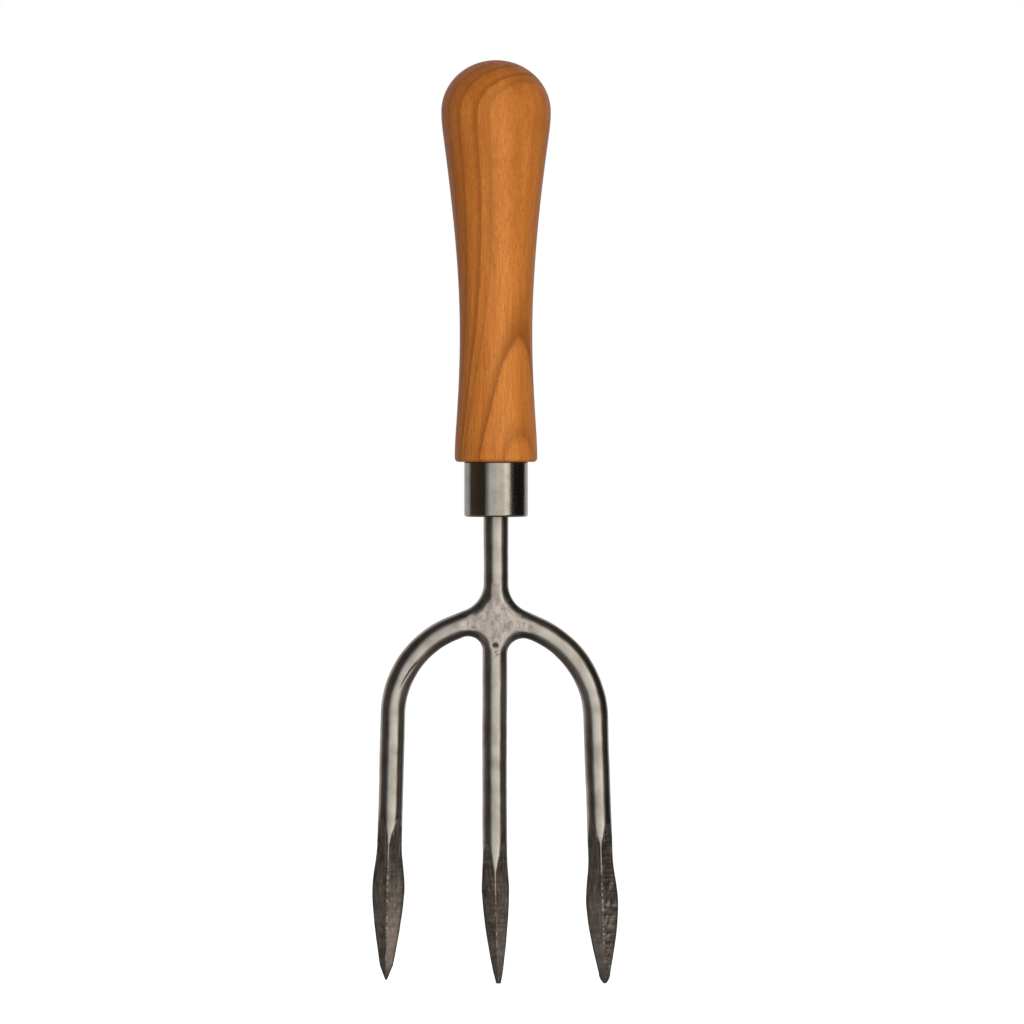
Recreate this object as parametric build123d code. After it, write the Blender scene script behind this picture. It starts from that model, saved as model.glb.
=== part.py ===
from build123d import *
import math
import os

# A hand cultivator: a three-tined hand fork with a turned wooden handle.
#
# Frame: millimetres, +Z up along the handle, X across the tines, the front faces -Y. The origin is the
# centre of the ferrule's lower face, where the neck leaves it. The handle stands above, the tines hang below.
#
# Pieces: a turned handle with a spigot and a socket that the tang is driven into, a drawn cap ferrule that is
# pressed on the spigot, a bar that is the tang and the neck, a forged four-way crown, and three round tines
# with spear points. The neck leans the head back a little, and the tines bend forward again, so that their
# points run along the handle.

# ---------------------------------------------------------------- driving dimensions, in millimetres

# Handle
HANDLE_LENGTH = 125.9      # from the shoulder on the ferrule to the top of the dome
SHOULDER_STEP = 2.95       # how far the shoulder stands out past the ferrule
WAIST_RADIUS = 11.4
WAIST_HEIGHT = 43.0        # above the shoulder
KNOB_RADIUS = 17.2
DOME_HEIGHT = 16.2         # from the widest section to the top
SHOULDER_ROUND = 1.3
# Points that the grip's curve passes between its waist and its ends: share of the radius and of the height
FLARE_POINT = (0.62, 0.68)
SWELL_POINTS = ((0.33, 0.48), (0.85, 0.86))

# Ferrule
FERRULE_RADIUS = 10.0
FERRULE_LENGTH = 17.2      # from its lower face to the handle's shoulder
FERRULE_WALL = 1.2
FERRULE_FLOOR = 1.5
FERRULE_ROUND = 0.8

SHOULDER_RADIUS = FERRULE_RADIUS + SHOULDER_STEP

# Bar stock and tang
ROD_RADIUS = 3.9
TANG_ROOT = 5.0            # across the flats, where the tang starts
TANG_TIP = 3.0
TANG_LENGTH = 68.0
SOCKET_DRILL_PAST = 2.0    # how far the socket runs past the tang's end

# Fits
SPIGOT_FIT = 0.04          # radial, spigot in ferrule
TANG_FIT = 0.05            # each side, tang in its socket
NECK_FIT = 0.10            # radial, neck in the ferrule's hole

# Neck and head
NECK_STRAIGHT = 3.0        # below the ferrule, before the neck leans back
NECK_BEND_RADIUS = 60.0
HEAD_LEAN = 7.0            # degrees that the head leans back from the handle's line
CROWN_DROP = 29.6          # from the ferrule's lower face down to where the arms' centre lines meet
CROWN_DRESSED_OFF = 0.1    # what is ground off the bar's depth, front and back
CROWN_DRESSED_FLAT = 0.55  # half width of the flat that this leaves along each limb
UPPER_FILLET = 9.2         # between the neck and each arm
LOWER_FILLET = 4.8         # between each arm and the middle tine
CROWN_LAND = 0.3           # straight stretch of the lower limbs past their fillets
NECK_LAND = 1.2            # and of the upper limb
CROWN_HALF_DEPTH = ROD_RADIUS - CROWN_DRESSED_OFF
CROWN_EDGE_ROUND = ROD_RADIUS - CROWN_DRESSED_FLAT

# Forward bend of the tines: where it starts, below the crown's centre, and its size
BEND_START = 35.5
BEND_RADIUS = 170.0
BEND_ANGLE = 8.5

# Each outer tine: slope of its arm below level, straight length of the arm past the crown, radius of the
# shoulder and outward splay of the shank, all on its centre line. Then its spear point: how far below the
# ferrule it ends, its length, where it is widest, and how far it flares there past the bar on each side
LEFT = {"side": -1, "arm_slope": 22.0, "arm_straight": 1.4, "shoulder_radius": 30.4, "splay": 1.5,
        "tip_drop": 146.0, "leaf_length": 43.0, "widest_from_tip": 28.6, "leaf_flare": 1.2}
RIGHT = {"side": 1, "arm_slope": 24.5, "arm_straight": 0.4, "shoulder_radius": 31.5, "splay": 2.0,
         "tip_drop": 147.1, "leaf_length": 40.0, "widest_from_tip": 25.4, "leaf_flare": 1.25}
MIDDLE = {"tip_drop": 147.2, "leaf_length": 41.0, "widest_from_tip": 29.4, "leaf_flare": 0.45}

# Spear point, shared by the three
LEAF_THINNING = 0.45       # how much thinner than the bar it is at its widest, front and back
NECKING_AT = 0.45          # share of the way from round bar to widest section where the flare sets in
NECKING_FLARE = 0.34       # and the share of the flare that is reached there
LEAF_BELLY = 0.2           # how far its edges bow out half way to the point
POINT_BEVEL = 2.4          # length of the last, steeper bevel
BEVEL_HALF_WIDTH = 1.65    # where that bevel starts
BEVEL_HALF_DEPTH = 1.2
POINT_HALF_WIDTH = 0.9     # at the very end
POINT_HALF_DEPTH = 0.7

# ---------------------------------------------------------------- small helpers

DIAGONAL = math.sqrt(0.5)
CLOSE = 0.01               # points nearer than this are the same

# Roundness of the sections of a spear point, from its round bar to its ground facets
ROUND = 1.0
SOFTENED = 0.55
RIDGED = 0.12
CROWNED = 0.05


def turned(vector, axis, degrees):
    """The vector turned about an axis direction by the right-hand rule."""
    return vector.rotate(Axis((0, 0, 0), tuple(axis)), degrees)


def run(state, length):
    """A straight run of a centre line. state is (point, direction)."""
    start, direction = state
    end = start + direction * length
    return Line(start, end), (end, direction)


def bend(state, radius, degrees, axis):
    """A tangent arc of a centre line, turning by the right-hand rule about a direction square to it."""
    start, direction = state
    centre = start + axis.cross(direction) * math.copysign(radius, degrees)
    middle = centre + turned(start - centre, axis, degrees / 2)
    end = centre + turned(start - centre, axis, degrees)
    return ThreePointArc(start, middle, end), (end, turned(direction, axis, degrees))


def rod_along(path):
    """A round rod of the bar's radius along lines and arcs, one stretch of it for each."""
    rod = Part()
    for edge in path:
        section = Plane(origin=edge @ 0, z_dir=edge % 0) * Circle(ROD_RADIUS)
        rod += sweep(section, edge)
    return rod


def lens_section(plane, half_width, half_depth, roundness):
    """A section of four arcs between four corners: a circle at roundness 1, almost a diamond near 0."""
    share = 0.5 + (DIAGONAL - 0.5) * roundness
    corners = [(half_width, 0), (0, half_depth), (-half_width, 0), (0, -half_depth)]
    edges = []
    for (x0, y0), (x1, y1) in zip(corners, corners[1:] + corners[:1]):
        edges.append(ThreePointArc((x0, y0), ((x0 + x1) * share, (y0 + y1) * share), (x1, y1)))
    return plane * make_face(edges)


# ---------------------------------------------------------------- handle and ferrule


def handle_outline():
    """Half the handle's section in the XZ plane: the spigot, the shoulder, the grip and the dome."""
    shoulder = FERRULE_LENGTH
    waist = shoulder + WAIST_HEIGHT
    top = shoulder + HANDLE_LENGTH
    knob = top - DOME_HEIGHT
    spigot_radius = FERRULE_RADIUS - FERRULE_WALL - SPIGOT_FIT
    spigot = [(0, 0, FERRULE_FLOOR), (spigot_radius, 0, FERRULE_FLOOR), (spigot_radius, 0, shoulder),
              (SHOULDER_RADIUS - SHOULDER_ROUND, 0, shoulder)]
    corner = Vector(SHOULDER_RADIUS, 0, shoulder + SHOULDER_ROUND)
    flare = SHOULDER_RADIUS - WAIST_RADIUS
    swell = KNOB_RADIUS - WAIST_RADIUS
    rise = knob - waist
    grip = Spline(
        corner,
        (WAIST_RADIUS + FLARE_POINT[0] * flare, 0, waist - FLARE_POINT[1] * WAIST_HEIGHT),
        (WAIST_RADIUS, 0, waist),
        *[(WAIST_RADIUS + out * swell, 0, waist + up * rise) for out, up in SWELL_POINTS],
        (KNOB_RADIUS, 0, knob),
        tangents=((0, 0, 1), (0, 0, 1)),
    )
    dome = Spline(
        grip @ 1,
        (KNOB_RADIUS * DIAGONAL, 0, knob + DOME_HEIGHT * DIAGONAL),
        (0, 0, top),
        tangents=((0, 0, 1), (-1, 0, 0)),
    )
    return [
        Polyline(spigot),
        TangentArc((spigot[-1], corner), tangent=(1, 0, 0)),
        grip,
        dome,
        Line(dome @ 1, spigot[0]),
    ]


def tapered_square(bottom, length, root, tip):
    """A square bar tapering upwards from a height on the axis."""
    return loft([Plane.XY.offset(bottom) * Rectangle(root, root),
                 Plane.XY.offset(bottom + length) * Rectangle(tip, tip)])


def make_handle():
    """Turned handle with its spigot and the square socket that the tang is driven into."""
    body = revolve(make_face(handle_outline()), Axis.Z)
    taper = (TANG_ROOT - TANG_TIP) / TANG_LENGTH
    depth = TANG_LENGTH + SOCKET_DRILL_PAST
    root = TANG_ROOT + 2 * TANG_FIT
    return body - tapered_square(FERRULE_FLOOR, depth, root, root - taper * depth)


def make_ferrule():
    """Drawn cap ferrule with a floor and a hole for the neck."""
    outside = Pos(0, 0, FERRULE_LENGTH / 2) * Cylinder(FERRULE_RADIUS, FERRULE_LENGTH)
    rim = outside.edges().filter_by(GeomType.CIRCLE).sort_by(Axis.Z)[0]
    outside = fillet(rim, FERRULE_ROUND)
    cup = FERRULE_LENGTH - FERRULE_FLOOR
    inside = Pos(0, 0, FERRULE_FLOOR + cup / 2) * Cylinder(FERRULE_RADIUS - FERRULE_WALL, cup)
    hole = Pos(0, 0, FERRULE_FLOOR / 2) * Cylinder(ROD_RADIUS + NECK_FIT, FERRULE_FLOOR)
    return outside - inside - hole


# ---------------------------------------------------------------- neck, crown and tines

ACROSS = Vector(1, 0, 0)


def fillet_reach(angle, radius):
    """How far a fillet between two limbs of bar width runs along them, from where their centre lines meet."""
    return (ROD_RADIUS + radius) / math.tan(math.radians(angle / 2))


def arm_stub(tine):
    """The crown's reach along an arm."""
    return fillet_reach(90 - tine["arm_slope"], LOWER_FILLET) + CROWN_LAND


NECK_STUB = max(fillet_reach(90 + tine["arm_slope"], UPPER_FILLET) for tine in (LEFT, RIGHT)) + NECK_LAND
TINE_STUB = max(arm_stub(tine) for tine in (LEFT, RIGHT))


def neck_path_and_crown_state():
    """The neck's centre line down to the crown: its edges, and the crown's centre and direction."""
    state = (Vector(0, 0, FERRULE_FLOOR), Vector(0, 0, -1))
    top, state = run(state, FERRULE_FLOOR + NECK_STRAIGHT)
    lean, state = bend(state, NECK_BEND_RADIUS, HEAD_LEAN, ACROSS)
    start, direction = state
    to_centre = (CROWN_DROP + start.Z) / -direction.Z
    rest, _ = run(state, to_centre - NECK_STUB)
    return [top, lean, rest], (start + direction * to_centre, direction)


NECK_PATH, CROWN_STATE = neck_path_and_crown_state()
CROWN_CENTRE, DOWN = CROWN_STATE
FACING = ACROSS.cross(DOWN)
CROWN_PLANE = Plane(origin=CROWN_CENTRE, x_dir=ACROSS, z_dir=FACING.reverse())


def make_neck_and_tang():
    """One bar: the round neck, and above its shoulder the tapered square tang."""
    tang = tapered_square(FERRULE_FLOOR, TANG_LENGTH, TANG_ROOT, TANG_TIP)
    return rod_along(NECK_PATH) + tang


def arm_angle(tine):
    """An arm's direction in the crown's plane, in degrees from +X."""
    return -tine["arm_slope"] if tine["side"] > 0 else 180 + tine["arm_slope"]


def arm_direction(tine):
    """An arm's direction in space, leaving the crown's centre."""
    slope = math.radians(tine["arm_slope"])
    return ACROSS * (tine["side"] * math.cos(slope)) + DOWN * math.sin(slope)


def crown_outline():
    """The crown seen from the front: four limbs of the bar's width, with rounded inside corners."""
    width = 2 * ROD_RADIUS
    outline = Pos(0, (NECK_STUB - TINE_STUB) / 2) * Rectangle(width, NECK_STUB + TINE_STUB)
    for tine in (LEFT, RIGHT):
        arm = Pos(arm_stub(tine) / 2, 0) * Rectangle(arm_stub(tine), width)
        outline += Rot(0, 0, arm_angle(tine)) * arm
    inside = outline.vertices().filter_by(lambda v: abs(abs(v.X) - ROD_RADIUS) < CLOSE
                                          and CLOSE - TINE_STUB < v.Y < NECK_STUB - CLOSE)
    upper = [(v.X, v.Y) for v in inside if v.Y > 0]
    outline = fillet([v for v in inside if v.Y < 0], LOWER_FILLET)
    corners = [v for v in outline.vertices() if any(math.dist((v.X, v.Y), at) < CLOSE for at in upper)]
    return fillet(corners, UPPER_FILLET)


def make_crown():
    """Forged crown: its outline at the bar's thickness, flat in front and behind, with rounded edges."""
    block = extrude(crown_outline(), CROWN_HALF_DEPTH, both=True)
    limb_ends = [Vector(0, NECK_STUB), Vector(0, -TINE_STUB)]
    for tine in (LEFT, RIGHT):
        limb_ends.append(turned(Vector(arm_stub(tine), 0), Vector(0, 0, 1), arm_angle(tine)))
    sharp = [edge for edge in block.faces().filter_by(Plane.XY).edges()
             if all((Vector(edge.center().X, edge.center().Y) - end).length > CLOSE for end in limb_ends)]
    return CROWN_PLANE * fillet(sharp, CROWN_EDGE_ROUND)


def make_spear(state, tine):
    """The forged point: the round bar turns into a flared diamond that tapers to a blunt end."""
    start, direction = state
    across = (ACROSS - direction * ACROSS.dot(direction)).normalized()
    length, widest = tine["leaf_length"], tine["widest_from_tip"]
    neck_length = length - widest
    wide = ROD_RADIUS + tine["leaf_flare"]
    deep = ROD_RADIUS - LEAF_THINNING
    belly_width = 0.5 * (wide + BEVEL_HALF_WIDTH) + LEAF_BELLY
    belly_depth = 0.5 * (deep + BEVEL_HALF_DEPTH)
    sections = []
    for along, half_width, half_depth, roundness in (
        (0.0, ROD_RADIUS, ROD_RADIUS, ROUND),
        (NECKING_AT * neck_length, ROD_RADIUS + NECKING_FLARE * tine["leaf_flare"], ROD_RADIUS, SOFTENED),
        (neck_length, wide, deep, RIDGED),
        (length - 0.5 * widest, belly_width, belly_depth, CROWNED),
        (length - POINT_BEVEL, BEVEL_HALF_WIDTH, BEVEL_HALF_DEPTH, CROWNED),
        (length, POINT_HALF_WIDTH, POINT_HALF_DEPTH, CROWNED),
    ):
        plane = Plane(origin=start + direction * along, x_dir=across, z_dir=direction)
        sections.append(lens_section(plane, half_width, half_depth, roundness))
    return loft(sections, ruled=True)


def forward_bend(state, across):
    """The tines' gentle forward bend, about the direction across the tine."""
    return bend(state, BEND_RADIUS, -BEND_ANGLE, across)


def finish_tine(path, state, tine):
    """The bend, the straight shank down to the spear point, and the point, all as one bar."""
    across = (ACROSS - state[1] * ACROSS.dot(state[1])).normalized()
    arc, state = forward_bend(state, across)
    start, direction = state
    shank_length = (tine["tip_drop"] + start.Z) / -direction.Z - tine["leaf_length"]
    shank, state = run(state, shank_length)
    return rod_along(path + [arc, shank]) + make_spear(state, tine)


def make_middle_tine():
    """Straight below the crown, in line with the neck."""
    state = (CROWN_CENTRE + DOWN * TINE_STUB, DOWN)
    stem, state = run(state, BEND_START - TINE_STUB)
    return finish_tine([stem], state, MIDDLE)


def make_outer_tine(tine):
    """Out along the crown's arm, round the shoulder and down."""
    out = arm_direction(tine)
    state = (CROWN_CENTRE + out * arm_stub(tine), out)
    arm, state = run(state, tine["arm_straight"])
    turn = (90 - tine["splay"] - tine["arm_slope"]) * tine["side"]
    shoulder, state = bend(state, tine["shoulder_radius"], turn, FACING)
    return finish_tine([arm, shoulder], state, tine)


PARTS = {
    "handle": make_handle,
    "ferrule": make_ferrule,
    "neck_and_tang": make_neck_and_tang,
    "crown": make_crown,
    "middle_tine": make_middle_tine,
    "left_tine": lambda: make_outer_tine(LEFT),
    "right_tine": lambda: make_outer_tine(RIGHT),
}

os.makedirs("parts", exist_ok=True)
for name, make in PARTS.items():
    export_step(make(), f"parts/{name}.step")
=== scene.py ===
"""Visual model of a three-tined hand fork: a turned wooden handle, a cap ferrule and a forged steel head.

Each sub-assembly is a class that holds its sizes in millimetres, works its surfaces out as whole arrays and
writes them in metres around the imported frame: +Z up along the handle, X across the tines, the front faces -Y.
"""

import logging
from dataclasses import dataclass, field
from enum import Enum

import bmesh
import bpy
import numpy as np
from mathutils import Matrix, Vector


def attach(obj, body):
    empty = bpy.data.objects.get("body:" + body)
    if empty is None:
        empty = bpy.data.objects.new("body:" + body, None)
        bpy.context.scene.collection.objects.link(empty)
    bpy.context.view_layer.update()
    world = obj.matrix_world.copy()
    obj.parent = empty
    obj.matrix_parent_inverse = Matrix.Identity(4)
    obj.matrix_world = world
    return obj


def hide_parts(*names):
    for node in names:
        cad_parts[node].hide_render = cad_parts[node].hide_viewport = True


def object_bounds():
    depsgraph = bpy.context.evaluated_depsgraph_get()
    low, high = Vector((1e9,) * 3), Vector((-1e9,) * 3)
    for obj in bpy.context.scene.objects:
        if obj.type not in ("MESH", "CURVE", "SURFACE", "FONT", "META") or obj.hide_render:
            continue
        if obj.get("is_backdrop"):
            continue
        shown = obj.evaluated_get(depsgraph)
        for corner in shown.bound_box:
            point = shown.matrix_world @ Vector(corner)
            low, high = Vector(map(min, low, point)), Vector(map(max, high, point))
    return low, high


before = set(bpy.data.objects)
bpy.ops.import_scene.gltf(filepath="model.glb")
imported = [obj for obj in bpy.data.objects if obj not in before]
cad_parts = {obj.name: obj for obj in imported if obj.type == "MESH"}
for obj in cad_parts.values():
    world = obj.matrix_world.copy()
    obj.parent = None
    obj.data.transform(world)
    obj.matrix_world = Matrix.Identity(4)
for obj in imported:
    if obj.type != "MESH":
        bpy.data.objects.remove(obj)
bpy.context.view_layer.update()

Array = np.ndarray
Socket = bpy.types.NodeSocket
Value = float | tuple | Socket

MM = 0.001
WELD_WITHIN = 0.0005 * MM
SHARP_FROM = np.radians(75.0)
BODY = "root"
MASKS = ("scaled", "dressed", "pitted", "ground", "down_point", "painted_facet_light")
NOISE_RANGE = (0.3, 0.7)  # where most values of a noise lie
QUAD = ((0, 0), (0, 1), (1, 1), (1, 0))  # the corners of a grid's cell, as steps along and round
WALL_TURN = np.radians(9.0)  # how far the wall behind is turned to the left
log = logging.getLogger("hand_fork")


# ---------------------------------------------------------------- curves and grids


def unit(vector: Array) -> Array:
    """The vector at length one."""
    return vector / np.linalg.norm(vector)


def ease(share: Array) -> Array:
    """A smooth step from 0 to 1: three times the square less twice the cube of the clipped share."""
    held = np.clip(share, 0.0, 1.0)
    return held * held * (3.0 - 2.0 * held)


def clamped_spline(at: Array, knots: Array, heights: Array) -> Array:
    """A cubic curve through the knots that is level at both ends.

    The slopes at the inner knots are solved so that the curvature runs on through each. Every span is then
    the cubic Hermite curve of its two heights and slopes.

    Args:
        at: where the curve is wanted.
        knots: increasing places of the points that it passes.
        heights: its value at each.

    Returns:
        The curve's value at each place.
    """
    gaps = np.diff(knots)
    rises = np.diff(heights) / gaps
    count = len(knots)
    system, wanted = np.eye(count), np.zeros(count)
    inner = np.arange(1, count - 1)
    system[inner, inner - 1] = gaps[1:]
    system[inner, inner] = 2.0 * (gaps[:-1] + gaps[1:])
    system[inner, inner + 1] = gaps[:-1]
    wanted[inner] = 3.0 * (rises[:-1] * gaps[1:] + rises[1:] * gaps[:-1])
    slopes = np.linalg.solve(system, wanted)
    span = np.clip(np.searchsorted(knots, at) - 1, 0, count - 2)
    gap = gaps[span]
    share = (at - knots[span]) / gap
    left = 1.0 - share
    ends = heights[span] * left**2 * (1.0 + 2.0 * share) + heights[span + 1] * share**2 * (3.0 - 2.0 * share)
    return ends + gap * share * left * (slopes[span] * left - slopes[span + 1] * share)


def ripple(points: Array, wavelength: float, seed: int, waves: int = 9) -> Array:
    """Smooth unevenness of about unit size: plane waves of seeded directions, lengths and phases."""
    chance = np.random.default_rng(seed)
    headings = chance.normal(size=(waves, 3))
    headings /= np.linalg.norm(headings, axis=1)[:, None] * wavelength * chance.uniform(0.7, 1.4, (waves, 1))
    phases = chance.uniform(0.0, 2.0 * np.pi, waves)
    return np.sin(2.0 * np.pi * points @ headings.T + phases).sum(axis=-1) / np.sqrt(waves)


def rippled(points: Array, waves: tuple, seed: int) -> Array:
    """Ripples added up, each given by its height and wavelength. Their seeds count on from the first."""
    return sum(height * ripple(points, length, seed + index) for index, (height, length) in enumerate(waves))


def bell(places: Array, at: tuple, size: tuple) -> Array:
    """A bell curve of the distance from a place, with its own size each way."""
    return np.exp(-(((places - np.array(at)) / size) ** 2).sum(axis=-1))


def circle(columns: int) -> Array:
    """Evenly spaced directions round a circle."""
    angle = np.arange(columns) * 2.0 * np.pi / columns
    return np.stack([np.cos(angle), np.sin(angle)], axis=-1)


def blank_masks(shape: tuple) -> dict[str, Array]:
    """The steel's masks, all of them 0."""
    return {name: np.zeros(shape) for name in MASKS}


def linked(name: str, data: bpy.types.ID) -> bpy.types.Object:
    """A new object of this data, in the scene at the origin."""
    thing = bpy.data.objects.new(name, data)
    bpy.context.scene.collection.objects.link(thing)
    return thing


@dataclass
class Stretch:
    """One line or arc of a centre line, with the side direction that is carried along it."""

    start: Array
    heading: Array
    side: Array
    length: float
    axis: Array
    turn: float  # radians for each millimetre, 0 on a straight

    def at(self, along: Array) -> tuple[Array, Array, Array]:
        """Points, headings and sides at distances from the stretch's start, by the right-hand rule."""
        ahead = along[:, None]
        if self.turn == 0.0:
            still = np.ones_like(ahead)
            return self.start + self.heading * ahead, self.heading * still, self.side * still
        swing = self.turn * ahead
        inward = np.cross(self.axis, self.heading)
        lifted = np.cross(self.axis, self.side)
        kept = self.axis * self.axis.dot(self.side)
        points = self.start + (self.heading * np.sin(swing) + inward * (1.0 - np.cos(swing))) / self.turn
        headings = self.heading * np.cos(swing) + inward * np.sin(swing)
        sides = self.side * np.cos(swing) + lifted * np.sin(swing) + kept * (1.0 - np.cos(swing))
        return points, headings, sides


class CentreLine:
    """The middle of a bar: straight runs and tangent arcs, with a side direction carried without twist."""

    def __init__(self, start: Array, heading: Array, side: Array) -> None:
        """Starts at a point with a heading, and a side direction square to it."""
        self.start, self.heading, self.side = start, heading, side
        self.stretches: list[Stretch] = []

    @property
    def length(self) -> float:
        """Length of the whole line."""
        return sum(stretch.length for stretch in self.stretches)

    def _add(self, length: float, axis: Array, turn: float) -> "CentreLine":
        """Adds a stretch and moves the line's end to the end of it."""
        stretch = Stretch(self.start, self.heading, self.side, length, axis, turn)
        self.stretches.append(stretch)
        self.start, self.heading, self.side = (part[0] for part in stretch.at(np.array([length])))
        return self

    def run(self, length: float) -> "CentreLine":
        """Adds a straight run."""
        return self._add(length, self.side, 0.0)

    def bend(self, radius: float, degrees: float, axis: Array) -> "CentreLine":
        """Adds a tangent arc, turned by the right-hand rule about an axis square to the heading."""
        angle = np.radians(degrees)
        return self._add(abs(angle) * radius, axis, np.sign(angle) / radius)

    def at(self, along: Array) -> tuple[Array, Array, Array]:
        """Points, headings and sides at distances from the line's start."""
        parts = [np.zeros((len(along), 3)) for _ in range(3)]
        begun = 0.0
        for stretch in self.stretches:
            last = stretch is self.stretches[-1]
            here = (along >= begun) & ((along < begun + stretch.length) | last)
            for part, found in zip(parts, stretch.at(along[here] - begun)):
                part[here] = found
            begun += stretch.length
        return parts[0], parts[1], parts[2]


@dataclass
class Skin:
    """A closed surface on a grid: rows run along it, columns run round it, and each end shuts on a pole."""

    points: Array  # rows, columns, 3, in millimetres
    along: Array  # rows, in millimetres
    around: Array  # columns + 1, in millimetres, the last one closing the turn
    masks: dict[str, Array] = field(default_factory=dict)  # rows, columns, from 0 to 1

    def faces(self) -> tuple[list, Array]:
        """The grid's quads and the fans that shut its ends, with the place on the surface of every corner."""
        rows, columns = self.points.shape[:2]
        row, column = np.meshgrid(np.arange(rows - 1), np.arange(columns), indexing="ij")
        quads = np.stack([(row + on) * columns + (column + over) % columns for on, over in QUAD], axis=-1)
        quad_places = np.stack([np.stack([self.along[row + on], self.around[column + over]], axis=-1)
                                for on, over in QUAD], axis=2)
        turn = np.arange(columns)
        following = (turn + 1) % columns
        first, last = np.full(columns, rows * columns), np.full(columns, rows * columns + 1)
        start_fan = np.stack([first, following, turn], axis=-1)
        end_fan = np.stack([last, (rows - 1) * columns + turn, (rows - 1) * columns + following], axis=-1)
        here, there = self.around[turn], self.around[turn + 1]
        middle = 0.5 * (here + there)
        ends = ((self.along[0], (middle, there, here)), (self.along[-1], (middle, here, there)))
        fan_places = [
            np.stack([np.stack([np.full(columns, height), part], axis=-1) for part in order], axis=1)
            for height, order in ends
        ]
        faces = quads.reshape(-1, 4).tolist() + start_fan.tolist() + end_fan.tolist()
        places = np.concatenate([quad_places.reshape(-1, 2), *(part.reshape(-1, 2) for part in fan_places)])
        return faces, places

    def to_object(self, name: str, weld: bool = False) -> bpy.types.Object:
        """Writes the surface as a smooth mesh in metres, its masks as attributes and its places as a map.

        Args:
            name: the piece's name.
            weld: whether corners that meet are joined, for a grid that closes on itself.

        Returns:
            The object, linked to the scene at the origin.
        """
        flat = self.points.reshape(-1, 3)
        poles = np.stack([self.points[0].mean(axis=0), self.points[-1].mean(axis=0)])
        faces, places = self.faces()
        mesh = bpy.data.meshes.new(name)
        mesh.from_pydata((np.concatenate([flat, poles]) * MM).tolist(), [], faces)
        mesh.uv_layers.new(name="surface").data.foreach_set("uv", (places * MM).astype(np.float32).ravel())
        for mask_name, mask in self.masks.items():
            ends = [mask[0].mean(), mask[-1].mean()]
            values = np.concatenate([mask.ravel(), ends]).astype(np.float32)
            mesh.attributes.new(mask_name, "FLOAT", "POINT").data.foreach_set("value", values)
        if weld:
            join_corners(mesh)
        mesh.shade_smooth()
        mesh.set_sharp_from_angle(angle=SHARP_FROM)
        return linked(name, mesh)


def join_corners(mesh: bpy.types.Mesh) -> None:
    """Joins the corners of a mesh that meet, and drops the faces that this leaves without area."""
    shape = bmesh.new()
    shape.from_mesh(mesh)
    bmesh.ops.remove_doubles(shape, verts=shape.verts, dist=WELD_WITHIN)
    shape.to_mesh(mesh)
    shape.free()


def raised(flat: Array, heights: Array) -> Array:
    """Rows of flat rings, each set at its height."""
    return np.concatenate([flat, np.broadcast_to(heights[:, None, None], (*flat.shape[:2], 1))], axis=-1)


def lathe(radii: Array, heights: Array, columns: int) -> Array:
    """A turned surface: at each height a circle of its radius, as rows of points on a grid."""
    return raised(radii[:, None, None] * circle(columns), heights)


def travelled(points: Array) -> Array:
    """Distance covered at each point of a line of points."""
    return np.concatenate([[0.0], np.cumsum(np.linalg.norm(np.diff(points, axis=0), axis=1))])


# ---------------------------------------------------------------- finishes


@dataclass(frozen=True)
class Mottle:
    """Noise that lays one colour over another: it starts to show at one value and is full at another."""

    scale: float  # cycles for each millimetre
    low: float
    high: float
    most: float = 1.0
    stretch: tuple = (1.0, 1.0, 1.0)
    detail: float = 4.0
    distortion: float = 0.0


class Nodes:
    """A node tree built step by step. A step takes numbers, tuples or earlier steps."""

    def __init__(self, tree: bpy.types.NodeTree) -> None:
        """Starts with an empty tree."""
        self.tree = tree
        self.tree.nodes.clear()

    def add(self, kind: str, sockets: dict, **settings: object) -> bpy.types.Node:
        """Adds a node.

        Args:
            kind: the node's type.
            sockets: what each input holds or is linked to, by name or number.
            settings: properties of the node.

        Returns:
            The node.
        """
        node = self.tree.nodes.new(kind)
        for name, setting in settings.items():
            setattr(node, name, setting)
        for key, value in sockets.items():
            if isinstance(value, Socket):
                self.tree.links.new(value, node.inputs[key])
            else:
                node.inputs[key].default_value = value
        return node

    def step(self, kind: str, sockets: dict, output: str | int = 0, **settings: object) -> Socket:
        """Adds a node and hands on one of its outputs."""
        return self.add(kind, sockets, **settings).outputs[output]

    def scaled(self, vector: Socket, factors: tuple) -> Socket:
        """A vector with each part multiplied."""
        return self.step("ShaderNodeVectorMath", {0: vector, 1: factors}, operation="MULTIPLY")

    def sum(self, first: Value, second: Value, operation: str = "ADD") -> Socket:
        """Two numbers put together, by default added."""
        return self.step("ShaderNodeMath", {0: first, 1: second}, operation=operation)

    def times(self, *values: Value) -> Socket:
        """Numbers multiplied."""
        product = values[0]
        for value in values[1:]:
            product = self.sum(product, value, "MULTIPLY")
        return product

    def spread(self, value: Socket, low: float, high: float, to_low: float = 0.0,
               to_high: float = 1.0) -> Socket:
        """A number carried from one range to another, and held at its ends."""
        return self.step("ShaderNodeMapRange", {"Value": value, "From Min": low, "From Max": high,
                                                "To Min": to_low, "To Max": to_high})

    def swung(self, value: Socket, middle: float, less: float, more: float) -> Socket:
        """Noise carried to a range from less than a middle value to more."""
        return self.spread(value, *NOISE_RANGE, middle + less, middle + more)

    def mix(self, share: Value, first: Value, second: Value) -> Socket:
        """Two colours mixed by a share of the second."""
        found = {0: share, 6: first, 7: second}
        opaque = {key: (*value, 1.0) if isinstance(value, tuple) else value for key, value in found.items()}
        return self.step("ShaderNodeMix", opaque, 2, data_type="RGBA")

    def blend(self, share: Value, first: Value, second: Value) -> Socket:
        """Two numbers mixed by a share of the second."""
        return self.step("ShaderNodeMix", {0: share, 2: first, 3: second}, 0, data_type="FLOAT")


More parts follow.
